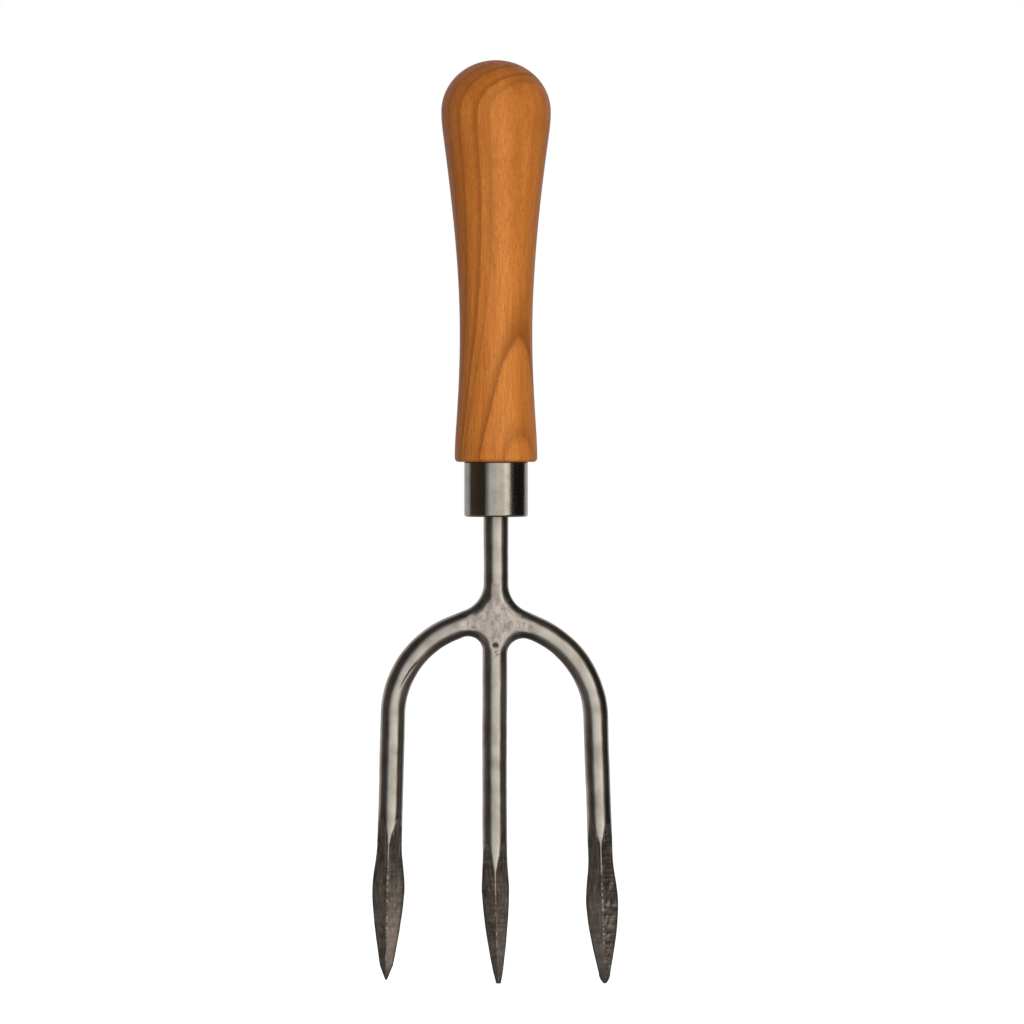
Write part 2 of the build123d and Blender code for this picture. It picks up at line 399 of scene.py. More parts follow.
class Recipe(Nodes):
    """A finish as a node tree, which reads the piece's own places and masks."""

    def __init__(self, name: str) -> None:
        """Starts an empty material, and finds the place on the piece in millimetres."""
        self.material = bpy.data.materials.new(name)
        self.material.use_nodes = True
        super().__init__(self.material.node_tree)
        self.place = self.scaled(self.step("ShaderNodeTexCoord", {}, "Object"), (1 / MM,) * 3)

    def noise(self, kind: Mottle, vector: Socket | None = None) -> Socket:
        """A mottle's soft noise around a half, by default at the place on the piece."""
        place = self.scaled(self.place if vector is None else vector, kind.stretch)
        return self.step("ShaderNodeTexNoise", {"Vector": place, "Scale": kind.scale, "Detail": kind.detail,
                                                "Distortion": kind.distortion})

    def share(self, kind: Mottle, vector: Socket | None = None) -> Socket:
        """How much of a mottle shows."""
        return self.spread(self.noise(kind, vector), kind.low, kind.high, 0.0, kind.most)

    def ramp(self, value: Socket, stops: list[tuple[float, float]]) -> Socket:
        """A shade for each value between 0 and 1, straight between its stops."""
        node = self.add("ShaderNodeValToRGB", {"Fac": value})
        points = node.color_ramp.elements
        for index, (at, shade) in enumerate(stops):
            point = points[index] if index < 2 else points.new(at)
            point.position = at
            point.color = (shade, shade, shade, 1.0)
        return node.outputs[0]

    def mask(self, name: str) -> Socket:
        """A mask that the piece carries, from 0 to 1."""
        return self.step("ShaderNodeAttribute", {}, "Fac", attribute_name=name)

    def surface_place(self) -> Socket:
        """Millimetres along and round the piece, from its own map."""
        return self.scaled(self.step("ShaderNodeUVMap", {}, uv_map="surface"), (1 / MM,) * 3)

    def finish(self, sockets: dict, height: Socket, relief: float) -> bpy.types.Material:
        """Ends the tree in a shader with relief.

        Args:
            sockets: what the shader's inputs hold or are linked to.
            height: the relief's height, from 0 to 1.
            relief: how tall a height of 1 is, in millimetres.

        Returns:
            The material.
        """
        normal = self.step("ShaderNodeBump", {"Strength": 1.0, "Distance": relief * MM, "Height": height})
        shader = self.step("ShaderNodeBsdfPrincipled", {**sockets, "Normal": normal})
        self.add("ShaderNodeOutputMaterial", {"Surface": shader})
        return self.material


@dataclass(frozen=True)
class OiledWood:
    """Turned fruitwood under oil: growth rings round a leaning pith, streaks, fibres and short flecks, and
    painted shade over the flank nearest the pith.
    """

    pale: tuple = (0.635, 0.230, 0.047)
    ruddy: tuple = (0.490, 0.155, 0.028)
    late_wood: tuple = (0.190, 0.050, 0.007)
    fleck: tuple = (0.150, 0.044, 0.008)
    glint: tuple = (0.700, 0.330, 0.095)
    # painted shade: a darker tone within a distance of the pith, which darkens the left flank and the back
    pith_side_shade: tuple = (0.385, 0.106, 0.016)
    pith_side_shade_from: tuple = (33.0, 25.0)
    pith_side_shade_share: float = 0.55
    pith: tuple = (-20.0, 25.0)
    pith_lean: tuple = (0.050, -0.086)
    ring_radii: tuple = (15.0, 19.5, 23.2, 27.0, 31.1, 33.3, 38.0, 42.5, 46.5)
    ring_depths: tuple = (0.35, 0.5, 0.8, 0.75, 0.8, 0.35, 0.8, 0.5, 0.6)
    ring_share: float = 0.94
    ring_shade: float = 1.25  # how far in a ring the late wood starts to darken
    ring_line: float = 0.25  # the sharp outer side of a ring
    reach: float = 60.0
    wander: float = 1.1
    fuzz: float = 0.16
    swaying: Mottle = Mottle(0.045, 0.0, 1.0, stretch=(1.0, 1.0, 0.16), detail=2.0)
    fuzzing: Mottle = Mottle(0.5, 0.0, 1.0, stretch=(1.0, 1.0, 0.16), detail=3.0)
    streaks: Mottle = Mottle(0.22, 0.36, 0.64, stretch=(1.0, 1.0, 0.05), detail=3.0)
    fibres: Mottle = Mottle(2.6, 0.38, 0.68, 0.36, (1.0, 1.0, 0.03), distortion=0.3)
    flecks: Mottle = Mottle(5.5, 0.60, 0.70, 0.62, (1.0, 1.0, 0.10), 2.0)
    grains: Mottle = Mottle(3.4, 0.56, 0.72, 0.26, (1.0, 1.0, 0.20), 3.0)
    clouds: Mottle = Mottle(0.055, 0.30, 0.70, 0.16, detail=2.0)
    roughness: float = 0.40
    sheen: float = 0.07
    fibre_height: float = 0.7
    fleck_height: float = -0.5
    relief: float = 0.045

    def from_pith(self, tree: Recipe) -> Socket:
        """Distance from the pith's leaning line at each place, wandering a little as the tree grew."""
        parts = tree.add("ShaderNodeSeparateXYZ", {0: tree.place}).outputs
        squares = []
        for part, start, lean in zip(parts, self.pith, self.pith_lean):
            line = tree.step("ShaderNodeMath", {0: parts[2], 1: lean, 2: start}, operation="MULTIPLY_ADD")
            offset = tree.sum(part, line, "SUBTRACT")
            squares.append(tree.times(offset, offset))
        distance = tree.sum(tree.sum(*squares), 0.5, "POWER")
        for kind, size in ((self.swaying, self.wander), (self.fuzzing, self.fuzz)):
            distance = tree.sum(distance, tree.spread(tree.noise(kind), kind.low, kind.high, -size, size))
        return distance

    def material(self) -> bpy.types.Material:
        """The wood as nodes. A ring's darkness depends on the distance from the pith, and so does the painted
        shade.
        """
        tree = Recipe("oiled_fruitwood")
        distance = self.from_pith(tree)
        stops = []
        for radius, depth in zip(self.ring_radii, self.ring_depths):
            stops += [((radius - self.ring_shade) / self.reach, 0.0), (radius / self.reach, depth),
                      ((radius + self.ring_line) / self.reach, 0.0)]
        rings = tree.ramp(tree.times(distance, 1.0 / self.reach), stops)
        body = tree.mix(tree.share(self.streaks), self.ruddy, self.pale)
        body = tree.mix(tree.times(rings, self.ring_share), body, self.late_wood)
        # painted shade laid over the flank nearest the pith
        body = tree.mix(tree.spread(distance, *self.pith_side_shade_from, 0.0, self.pith_side_shade_share), body, self.pith_side_shade)
        layers = ((self.fibres, self.late_wood), (self.flecks, self.fleck), (self.grains, self.glint),
                  (self.clouds, self.ruddy))
        for kind, colour in layers:
            body = tree.mix(tree.share(kind), body, colour)
        fibres = tree.noise(self.fibres)
        gloss = tree.swung(fibres, self.roughness, -0.05, 0.08)
        height = tree.sum(tree.times(fibres, self.fibre_height), tree.times(tree.share(self.flecks),
                                                                            self.fleck_height))
        return tree.finish({"Base Color": body, "Roughness": gloss, "Specular IOR Level": self.sheen}, height,
                           self.relief)


@dataclass(frozen=True)
class FerruleSteel:
    """Drawn and burnished steel: faint lines up its wall, small specks and a little brown in the hollows."""

    bright: tuple = (0.295, 0.276, 0.248)
    dull: tuple = (0.225, 0.205, 0.180)
    brown: tuple = (0.15, 0.12, 0.10)
    lines: Mottle = Mottle(2.4, 0.3, 0.7, stretch=(1.0, 1.0, 0.02))
    stain: Mottle = Mottle(0.22, 0.38, 0.66, 0.8)
    specks: Mottle = Mottle(3.1, 0.60, 0.72, detail=3.0)
    speck_share: float = 0.35
    speck_gloss: float = 0.12
    speck_height: float = -0.4
    roughness: float = 0.20
    relief: float = 0.004

    def material(self) -> bpy.types.Material:
        """The steel as nodes: draw lines and specks change its gloss and relief, a stain its colour."""
        tree = Recipe("burnished_ferrule_steel")
        lines, speck = tree.noise(self.lines), tree.share(self.specks)
        body = tree.mix(tree.share(self.stain), self.bright, self.dull)
        body = tree.mix(tree.times(speck, self.speck_share), body, self.brown)
        gloss = tree.sum(tree.swung(lines, self.roughness, -0.05, 0.07), tree.times(speck, self.speck_gloss))
        height = tree.sum(lines, tree.times(speck, self.speck_height))
        return tree.finish({"Base Color": body, "Roughness": gloss, "Metallic": 1.0}, height, self.relief)


@dataclass(frozen=True)
class BarSteel:
    """The head's steel: a satin bar, paler where the crown is dressed, dark scale on the forged points."""

    bar: tuple = (0.345, 0.325, 0.300)
    bar_stain: tuple = (0.235, 0.205, 0.180)
    dressed: tuple = (0.480, 0.430, 0.412)
    dressed_dull: tuple = (0.245, 0.210, 0.198)
    dressed_stain: tuple = (0.120, 0.098, 0.088)
    scale: tuple = (0.135, 0.114, 0.099)
    scale_dark: tuple = (0.034, 0.029, 0.024)
    # worn scale, also used as painted light on the facets that catch the light
    scale_worn_and_lit: tuple = (0.330, 0.285, 0.255)
    rust: tuple = (0.150, 0.078, 0.052)
    quenched: tuple = (0.058, 0.066, 0.056)  # the dark greenish skin at the very tip
    ridge_bright: tuple = (0.52, 0.47, 0.43)
    pit: tuple = (0.042, 0.042, 0.038)
    half_round: float = 6.126  # millimetres round the bar from its front to its side
    ridge_width: float = 0.42
    edge_from: tuple = (0.84, 0.97)  # shares of the way to the side where a facet's edge darkens
    drawn: Mottle = Mottle(2.2, 0.30, 0.70, stretch=(0.03, 1.0, 1.0))
    stain: Mottle = Mottle(0.16, 0.40, 0.68, 0.85)
    blotches: Mottle = Mottle(0.34, 0.38, 0.66, 0.75, distortion=0.6)
    grit: Mottle = Mottle(2.4, 0.40, 0.68, 0.45)
    brushed: Mottle = Mottle(0.55, 0.50, 0.68, 0.50, (0.9, 1.0, 0.40), distortion=0.6)
    patches: Mottle = Mottle(0.42, 0.46, 0.62, 0.70, (1.0, 1.0, 0.45), distortion=0.8)
    rusting: Mottle = Mottle(0.42, 0.46, 0.34, 0.75, (1.0, 1.0, 0.45), distortion=0.8)
    wear: Mottle = Mottle(1.0, 0.52, 0.72, 0.55, (0.16, 1.4, 1.0), distortion=0.6)
    cuts: Mottle = Mottle(1.0, 0.40, 0.62, distortion=0.5)
    scratches: Mottle = Mottle(1.0, 0.44, 0.30, distortion=0.5)
    specks: Mottle = Mottle(0.9, 0.50, 0.60, detail=3.0)
    stroke_lean: float = -0.95  # radians
    stroke_scale: tuple = (1.15, 0.16, 1.0)
    down_point_shades: tuple = ((0.0, 0.32), (0.30, 0.62), (0.48, 0.92), (0.80, 1.0), (0.97, 0.55))
    tip_from: tuple = (0.80, 0.97)
    bar_roughness: float = 0.29
    dressed_roughness: float = 0.46
    scale_roughness: float = 0.44
    ridge_roughness: float = 0.85
    scale_metal: float = 0.45
    relief: float = 0.030

    def dressed_colour(self, tree: Recipe) -> Socket:
        """The crown's dressed face: blotched, gritty and faintly brushed."""
        pale = tree.mix(tree.share(self.blotches), self.dressed, self.dressed_dull)
        pale = tree.mix(tree.share(self.grit), pale, self.bar_stain)
        return tree.mix(tree.share(self.brushed), pale, self.dressed_stain)

    def scale_colour(self, tree: Recipe, surface: Socket, strokes: tuple, ridge: tuple,
                     aside: Socket) -> Socket:
        """The forged points: scale, darker towards their start, rusty and scratched further down, and painted
        light: paler lower down on the facets that catch the light.

        Args:
            tree: the finish's nodes.
            surface: the place along and round the bar.
            strokes: how far each place is a dark cut, and how far a bright scratch.
            ridge: how far it is the ridge, and how far the ridge is bright there.
            aside: how far it is from the ridge, in millimetres round the bar.

        Returns:
            The colour.
        """
        ground, down_point, painted_facet_light = (tree.mask(name) for name in ("ground", "down_point", "painted_facet_light"))
        along = tree.noise(self.wear, surface)
        tip = tree.times(tree.spread(down_point, *self.tip_from, 0.0, 0.85),
                         tree.spread(along, 0.30, 0.60, 0.5))
        edge = tree.spread(aside, *(share * self.half_round for share in self.edge_from), 0.0, 0.7)
        dark = tree.mix(tree.ramp(down_point, self.down_point_shades), self.scale_dark, self.scale)
        for share, colour in (
            (tree.share(self.patches), self.scale_dark),
            (tree.times(tree.share(self.rusting), ground), self.rust),
            # painted light: the facets that catch the light are made paler lower down
            (tree.times(painted_facet_light, tree.spread(along, 0.30, 0.55, 1.0, 0.45)), self.scale_worn_and_lit),
            (tree.share(self.wear, surface), self.scale_worn_and_lit),
            (tree.times(strokes[0], ground, 0.80), self.scale_dark),
            (tree.times(strokes[1], ground, 0.50), self.scale_worn_and_lit),
            (tip, self.quenched),
            (edge, self.scale_dark),
            (tree.times(ridge[0], 0.85), self.scale_dark),
            (tree.times(ridge[0], ridge[1], 0.60), self.ridge_bright),
        ):
            dark = tree.mix(share, dark, colour)
        return dark

    def material(self) -> bpy.types.Material:
        """The steel as nodes. Masks on the mesh say where it is dressed, scaled or pitted."""
        tree = Recipe("forged_bar_steel")
        scaled, dressed, pitted = (tree.mask(name) for name in ("scaled", "dressed", "pitted"))
        surface = tree.surface_place()
        drawn, grit = tree.noise(self.drawn, surface), tree.noise(self.grit)
        parts = tree.add("ShaderNodeSeparateXYZ", {0: surface}).outputs
        past_front = tree.sum(parts[1], -self.half_round)
        aside = tree.sum(past_front, self.half_round, "PINGPONG")
        folded = tree.step("ShaderNodeCombineXYZ", {0: parts[0], 1: aside})
        slanted = tree.step("ShaderNodeMapping", {"Vector": folded, "Rotation": (0.0, 0.0, self.stroke_lean),
                                                  "Scale": self.stroke_scale})
        ridge, bright = tree.spread(aside, 0.0, self.ridge_width, 1.0, 0.0), tree.share(self.specks)
        strokes = tree.share(self.cuts, slanted), tree.share(self.scratches, slanted)
        striations = tree.noise(self.cuts, slanted)
        body = tree.mix(dressed, tree.mix(tree.share(self.stain), self.bar, self.bar_stain),
                        self.dressed_colour(tree))
        body = tree.mix(scaled, body, self.scale_colour(tree, surface, strokes, (ridge, bright), aside))
        body = tree.mix(pitted, body, self.pit)
        dull_ridge = tree.times(ridge, scaled, tree.spread(bright, 0.0, 1.0, 1.0, 0.4))
        gloss = tree.swung(drawn, self.bar_roughness, -0.05, 0.08)
        gloss = tree.blend(dressed, gloss, tree.swung(grit, self.dressed_roughness, -0.06, 0.06))
        gloss = tree.blend(scaled, gloss, tree.swung(striations, self.scale_roughness, 0.06, -0.08))
        gloss = tree.blend(dull_ridge, gloss, self.ridge_roughness)
        metal = tree.spread(scaled, 0.0, 1.0, 1.0, self.scale_metal)
        metal = tree.blend(tree.times(dull_ridge, 0.95), metal, 0.0)
        height = tree.sum(tree.blend(scaled, tree.times(drawn, 0.16), striations), tree.times(grit, 0.10))
        return tree.finish({"Base Color": body, "Roughness": gloss, "Metallic": metal}, height, self.relief)


# ---------------------------------------------------------------- handle and ferrule


@dataclass
class Grip:
    """The turned handle and the cap ferrule that is pressed on its spigot."""

    ferrule_radius: float = 10.0
    ferrule_length: float = 17.2
    ferrule_wall: float = 1.2
    ferrule_floor: float = 1.5
    ferrule_round: float = 0.8
    lip_round: float = 0.35
    neck_hole_radius: float = 4.0
    shoulder_step: float = 2.95
    shoulder_round: float = 1.3
    handle_length: float = 125.9
    waist_radius: float = 11.4
    waist_height: float = 43.0
    knob_radius: float = 17.2
    dome_height: float = 16.2
    flare_point: tuple = (0.62, 0.68)
    swell_points: tuple = ((0.33, 0.48), (0.85, 0.86))
    socket_half_width: float = 2.55
    socket_depth: float = 70.0
    socket_end: float = 1.5
    fit: float = 0.04
    hole_edge: float = 0.25
    sanding: tuple = ((0.0022, 38.0),)  # share of the radius, and wavelength, of the handle's unevenness
    seed: int = 11
    columns: int = 160

    def grip_outline(self) -> tuple[Array, Array]:
        """Radius and height up the grip: a cubic curve through the shoulder, the waist and the knob."""
        low = self.ferrule_length + self.shoulder_round
        waist = self.ferrule_length + self.waist_height
        knob = self.ferrule_length + self.handle_length - self.dome_height
        shoulder = self.ferrule_radius + self.shoulder_step
        swell, rise = self.knob_radius - self.waist_radius, knob - waist
        knots = np.array([low, waist - self.flare_point[1] * self.waist_height, waist,
                          *(waist + up * rise for _, up in self.swell_points), knob])
        radii = np.array([shoulder, self.waist_radius + self.flare_point[0] * (shoulder - self.waist_radius),
                          self.waist_radius,
                          *(self.waist_radius + out * swell for out, _ in self.swell_points),
                          self.knob_radius])
        heights = np.linspace(low, knob, 150)
        return clamped_spline(heights, knots, radii), heights

    def handle_outline(self) -> tuple[Array, Array]:
        """Radius and height round half the handle: its socket, its spigot, the grip and the dome."""
        shoulder = self.ferrule_length
        corner = self.ferrule_radius + self.shoulder_step - self.shoulder_round
        spigot = self.ferrule_radius - self.ferrule_wall - self.fit
        base = self.ferrule_floor
        quarter = np.linspace(0.0, np.pi / 2, 12)
        round_radii = corner + self.shoulder_round * np.sin(quarter)
        round_heights = shoulder + self.shoulder_round * (1.0 - np.cos(quarter))
        grip_radii, grip_heights = self.grip_outline()
        over = np.linspace(0.0, np.pi / 2, 46)[1:-1]
        dome_radii = self.knob_radius * np.cos(over)
        dome_heights = grip_heights[-1] + self.dome_height * np.sin(over)
        socket_radii = np.linspace(self.socket_end, self.socket_half_width, 6)
        socket_heights = np.linspace(base + self.socket_depth, base, 6)
        steps = np.linspace(0.0, 1.0, 5)
        mouth = self.socket_half_width + steps[1:] * (spigot - self.socket_half_width)
        ledge = spigot + steps[1:] * (corner - spigot)
        radii = np.concatenate([socket_radii, mouth, np.full(6, spigot), ledge, round_radii[1:],
                                grip_radii[1:], dome_radii])
        heights = np.concatenate([socket_heights, np.full(4, base), np.linspace(base, shoulder, 7)[1:],
                                  np.full(4, shoulder), round_heights[1:], grip_heights[1:], dome_heights])
        return radii, heights

    def make_handle(self) -> bpy.types.Object:
        """The handle: its outline turned about Z, with the faint unevenness of hand sanding."""
        radii, heights = self.handle_outline()
        points = lathe(radii, heights, self.columns)
        outside = heights > self.ferrule_length + self.shoulder_round
        uneven = 1.0 + rippled(points, self.sanding, self.seed) * outside[:, None]
        points[..., :2] *= uneven[..., None]
        around = np.linspace(0.0, 2.0 * np.pi * self.waist_radius, self.columns + 1)
        line = np.stack([radii, heights], axis=-1)
        return Skin(points, travelled(line), around).to_object("turned_handle")

    def make_ferrule(self) -> bpy.types.Object:
        """The ferrule: a closed wall section carried round Z, down from its lip, under the floor and up."""
        outer, floor, top = self.ferrule_radius, self.ferrule_floor, self.ferrule_length
        inner = outer - self.ferrule_wall
        quarter = np.linspace(0.0, np.pi / 2, 9)
        heel, lip, hole, edge = self.ferrule_round, self.lip_round, self.neck_hole_radius, self.hole_edge
        radii = np.concatenate([
            np.full(24, outer), outer - heel * (1.0 - np.cos(quarter)),
            np.linspace(outer - heel, hole + edge, 12)[1:],
            hole + edge * (1.0 - np.sin(quarter[1:])), [hole, hole], np.linspace(hole, inner, 8)[1:],
            np.full(10, inner), np.linspace(inner, outer - lip, 3)[1:],
            outer - lip + lip * np.sin(quarter[1:-1]),
        ])
        heights = np.concatenate([
            np.linspace(top - lip, heel, 25)[:-1], heel * (1.0 - np.sin(quarter)), np.zeros(11),
            edge * (1.0 - np.cos(quarter[1:])), [0.5 * floor, floor], np.full(7, floor),
            np.linspace(floor, top, 11)[1:], np.full(2, top), top - lip * (1.0 - np.cos(quarter[1:-1])),
        ])
        return self.closed_ring(radii, heights)

    def closed_ring(self, radii: Array, heights: Array) -> bpy.types.Object:
        """A section that closes on itself, carried round Z: its last row runs on into its first."""
        points = lathe(radii, heights, self.columns)
        rows, columns = points.shape[:2]
        row, column = np.meshgrid(np.arange(rows), np.arange(columns), indexing="ij")
        faces = np.stack([(row + on) % rows * columns + (column + over) % columns for over, on in QUAD],
                         axis=-1)
        mesh = bpy.data.meshes.new("cap_ferrule")
        mesh.from_pydata((points.reshape(-1, 3) * MM).tolist(), [], faces.reshape(-1, 4).tolist())
        mesh.shade_smooth()
        return linked("cap_ferrule", mesh)

    def build(self) -> None:
        """Makes both pieces, gives them their finishes and hands them to the frame."""
        settle(self.make_handle(), "handle", OiledWood().material())
        settle(self.make_ferrule(), "ferrule", FerruleSteel().material())


# ---------------------------------------------------------------- the steel head


class Side(Enum):
    """Which side of the middle tine a tine is on, and its sign along X."""

    LEFT = -1
    MIDDLE = 0
    RIGHT = 1


@dataclass
class Spear:
    """A forged point: the bar flares, two facets meet in a ridge front and back, and a bevel ends it."""

    length: float
    widest_from_tip: float
    flare: float
    bevel_length: float
    bevel_half_width: float
    tip_half_width: float
    tip_roundness: float
    facets_start: float  # where the facets begin, from the point's start along the bar
    ridge_from: float  # and where they meet in a ridge
    ridge_shift: float  # how far the ridge stands off the middle
    ground: tuple  # how strongly the left and the right facet show the grinding
    slant: float  # degrees that the strokes of the grinding lean from level
    painted_facet_light: tuple  # how far the left and the right facet are painted paler lower down, as painted light on the facet that catches the light
    thinning: float = 0.45
    belly: float = 1.5
    bevel_half_depth: float = 1.2
    tip_half_depth: float = 0.55

    def taper(self, along: Array, wide: float, bevel: float, tip: float) -> Array:
        """Half size beyond the widest place: a curve that steepens to the bevel, then the bevel itself."""
        widest = self.length - self.widest_from_tip
        bevel_from = self.length - self.bevel_length
        share = np.clip((along - widest) / (bevel_from - widest), 0.0, 1.0)
        end = np.clip((along - bevel_from) / self.bevel_length, 0.0, 1.0)
        return wide + (bevel - wide) * share**self.belly + (tip - bevel) * end**self.tip_roundness

    def half_sizes(self, along: Array, bar: float) -> tuple[Array, Array]:
        """Half width and half depth along the point."""
        swelling = ease(along / (self.length - self.widest_from_tip))
        before = along < self.length - self.widest_from_tip
        wide, deep = bar + self.flare, bar - self.thinning
        width = np.where(before, bar + self.flare * swelling,
                         self.taper(along, wide, self.bevel_half_width, self.tip_half_width))
        depth = np.where(before, bar - self.thinning * swelling,
                         self.taper(along, deep, self.bevel_half_depth, self.tip_half_depth))
        return width, depth


@dataclass
class Bar:
    """A round bar along a centre line, with an optional forged point at its end."""

    radius: float = 3.9
    columns: int = 96
    step: float = 0.30
    corner_sharpness: float = 46.0
    ridge_softness: float = 0.025
    edge_bluntness: float = 1.06
    ridge_bare: tuple = (2.0, 6.0)  # how far the ridge runs on bright, and over what length it then darkens
    stroke_width: float = 1.9
    stroke_length: float = 6.0
    stroke_depth: float = 0.085
    side_apart: float = 3.0  # wavelengths between the strokes of the two sides, so that they differ
    clear: float = 1.03  # how far outside the round bar the diamond starts
    facet_blend: float = 0.10  # over what share of the radius a facet takes over from the bar
    painted_light_from: tuple = (0.42, 0.35)  # where down the point the painted light starts, and how long it takes
    painted_light_to: tuple = (0.90, 0.10)  # and where it ends
    waviness: tuple = ((0.035, 16.0), (0.016, 5.0))  # height and wavelength of the bar's unevenness
    hammering: tuple = ((0.085, 5.5), (0.045, 2.2))  # and of the facets'

    def section(self, along: Array, point: Spear | None, length: float) -> tuple[Array, Array, Array]:
        """Width, depth and facet share of the section at each distance and angle.

        The section is the part that a rounded bar and a diamond have in common: in each direction the smaller
        of the two radii, with the corner between them slightly softened. The diamond starts outside the bar
        and closes in on it, so that the facets begin at its flanks and meet in a ridge.

        Args:
            along: distances along the bar.
            point: the forged point at its end, if it has one.
            length: the bar's whole length.

        Returns:
            Offsets to the side and to the front, and how far each place is a facet, from 0 to 1.
        """
        across, forward = circle(self.columns).T[:, None]
        if point is None:
            still = np.ones((len(along), 1))
            bare = np.zeros((len(along), self.columns))
            return self.radius * across * still, self.radius * forward * still, bare
        on_point = along - (length - point.length)
        width, depth = point.half_sizes(on_point, self.radius)
        closing = ease((on_point - point.facets_start) / (point.ridge_from - point.facets_start))
        open_by = 1.0 + (np.sqrt(2.0) * self.clear - 1.0) * (1.0 - closing)
        width, depth, open_by = width[:, None], depth[:, None], open_by[:, None]
        bar = 1.0 / np.hypot(across / width, forward / depth)
        soft = self.ridge_softness
        sideways = (np.hypot(across, soft) - soft) / (np.hypot(1.0, soft) - soft)
        wide = width * open_by * (1.0 + (self.edge_bluntness - 1.0) * closing[:, None])
        facets = 1.0 / (sideways / wide + np.abs(forward) / (depth * open_by))
        power = self.corner_sharpness
        radius = (bar**-power + facets**-power) ** (-1.0 / power)
        shift = point.ridge_shift * closing[:, None] * (1.0 - np.abs(across))
        return radius * across + shift, radius * forward, ease((bar - facets) / self.facet_blend)

    def skin(self, line: CentreLine, point: Spear | None, bow: "Bow | None", seed: int, calm: float) -> Skin:
        """The bar's surface: its section carried along the line, bowed and made a little uneven.

        Args:
            line: the bar's centre line.
            point: its forged point, if it has one.
            bow: how far it is out of true, if it is.
            seed: picks the unevenness.
            calm: length at each end over which the unevenness fades, so that the bar meets its neighbour.

        Returns:
            The surface with its masks.
        """
        length = line.length
        along = np.linspace(0.0, length, int(length / self.step) + 1)
        centres, headings, sides = line.at(along)
        fronts = np.cross(headings, sides)
        across, forward, facet = self.section(along, point, length)
        if bow is not None:
            centres = centres + sides * bow.offset(along / length)[:, None]
        points = centres[:, None] + sides[:, None] * across[..., None] + fronts[:, None] * forward[..., None]
        outward = points - centres[:, None]
        reach = np.linalg.norm(outward, axis=-1, keepdims=True)
        away = ease(along / calm)[:, None]
        if point is None:
            away = away * ease((length - along) / calm)[:, None]
        uneven = away * rippled(points, self.waviness, seed)
        hammered = facet * rippled(points, self.hammering, seed + 2)
        small = np.minimum(reach[..., 0] / self.radius, 1.0)
        around = np.linspace(0.0, 2.0 * np.pi * self.radius, self.columns + 1)
        masks = {**blank_masks(facet.shape), "scaled": facet}
        strokes = 0.0
        if point is not None:
            on_point = along - (length - point.length)
            begun = (on_point - point.facets_start) / (point.length - point.facets_start)
            met = ease((on_point - point.ridge_from - self.ridge_bare[0]) / self.ridge_bare[1])
            masks["scaled"] = np.maximum(facet, met[:, None])
            masks["down_point"] += np.clip(begun, 0.0, 1.0)[:, None]
            masks["ground"] = np.where(across > 0.0, point.ground[1], point.ground[0]) * facet
            first, last = ((begun - at) / over for at, over in (self.painted_light_from, self.painted_light_to))
            lower = ease(first) * (1.0 - ease(last))
            # painted light, set for each facet
            masks["painted_facet_light"] = np.where(across > 0.0, point.painted_facet_light[1], point.painted_facet_light[0]) * lower[:, None]
            strokes = self.strokes(along, around[:-1], point.slant, seed + 4) * masks["ground"]
        points += outward / reach * ((uneven + hammered + self.stroke_depth * strokes) * small)[..., None]
        return Skin(points, along, around, masks)

    def strokes(self, along: Array, around: Array, slant: float, seed: int) -> Array:
        """Grinding strokes of about unit size: a ripple drawn out along a slant, mirrored at the ridge."""
        quarter = 0.5 * np.pi * self.radius
        from_ridge = np.abs(np.abs(around - 2.0 * quarter) - quarter)[None]
        lean = np.radians(slant)
        over = along[:, None] * np.cos(lean) + from_ridge * np.sin(lean)
        length = from_ridge * np.cos(lean) - along[:, None] * np.sin(lean)
        side = np.broadcast_to(self.side_apart * np.sign(around - 2.0 * quarter), over.shape)
        drawn = np.stack([over / self.stroke_width, length / self.stroke_length, side], axis=-1)
        return ripple(drawn, 1.0, seed)


@dataclass
class Bow:
    """A bar out of true: an offset to its side of share squared times a straight line in the share."""

    first: float
    then: float

    def offset(self, share: Array) -> Array:
        """Offset at each share of the length, in millimetres, with no offset or slope at the start."""
        return share**2 * (self.first + self.then * share)


@dataclass
class Groove:
    """A narrow mark in a bar between two places, each a distance along it and a distance round it."""

    start: tuple
    end: tuple
    half_width: float
    depth: float
    end_depth: float = 0.35  # share of the depth that is left at its two ends
    stain: float = 0.8

    def cut(self, skin: Skin, line: CentreLine) -> None:
        """Presses the mark in: deepest on its line, falling away as a bell curve of the distance from it."""
        along, around = np.meshgrid(skin.along, skin.around[:-1], indexing="ij")
        start, end = np.array(self.start), np.array(self.end)
        place = np.stack([along, around], axis=-1) - start
        direction = end - start
        share = np.clip(place @ direction / direction.dot(direction), 0.0, 1.0)
        apart = np.linalg.norm(place - share[..., None] * direction, axis=-1)
        deep = self.end_depth + (1.0 - self.end_depth) * np.sin(np.pi * share)
        mark = np.exp(-((apart / self.half_width) ** 2)) * deep
        centres = line.at(skin.along)[0]
        inward = centres[:, None] - skin.points
        inward /= np.linalg.norm(inward, axis=-1, keepdims=True)
        skin.points += inward * (self.depth * mark)[..., None]
        skin.masks["pitted"] = np.maximum(skin.masks["pitted"], self.stain * mark)


@dataclass
class Tine:
    """One tine: its arm and shoulder if it has them, its shank, and its forged point."""

    side: Side
    tip_drop: float
    point: Spear
    arm_slope: float = 90.0
    arm_straight: float = 0.0
    shoulder_radius: float = 0.0
    splay: float = 0.0
    bow: Bow | None = None
    groove: Groove | None = None
    seed: int = 1

    @property
    def label(self) -> str:
        """Its side in words, as its names start."""
        return self.side.name.lower()


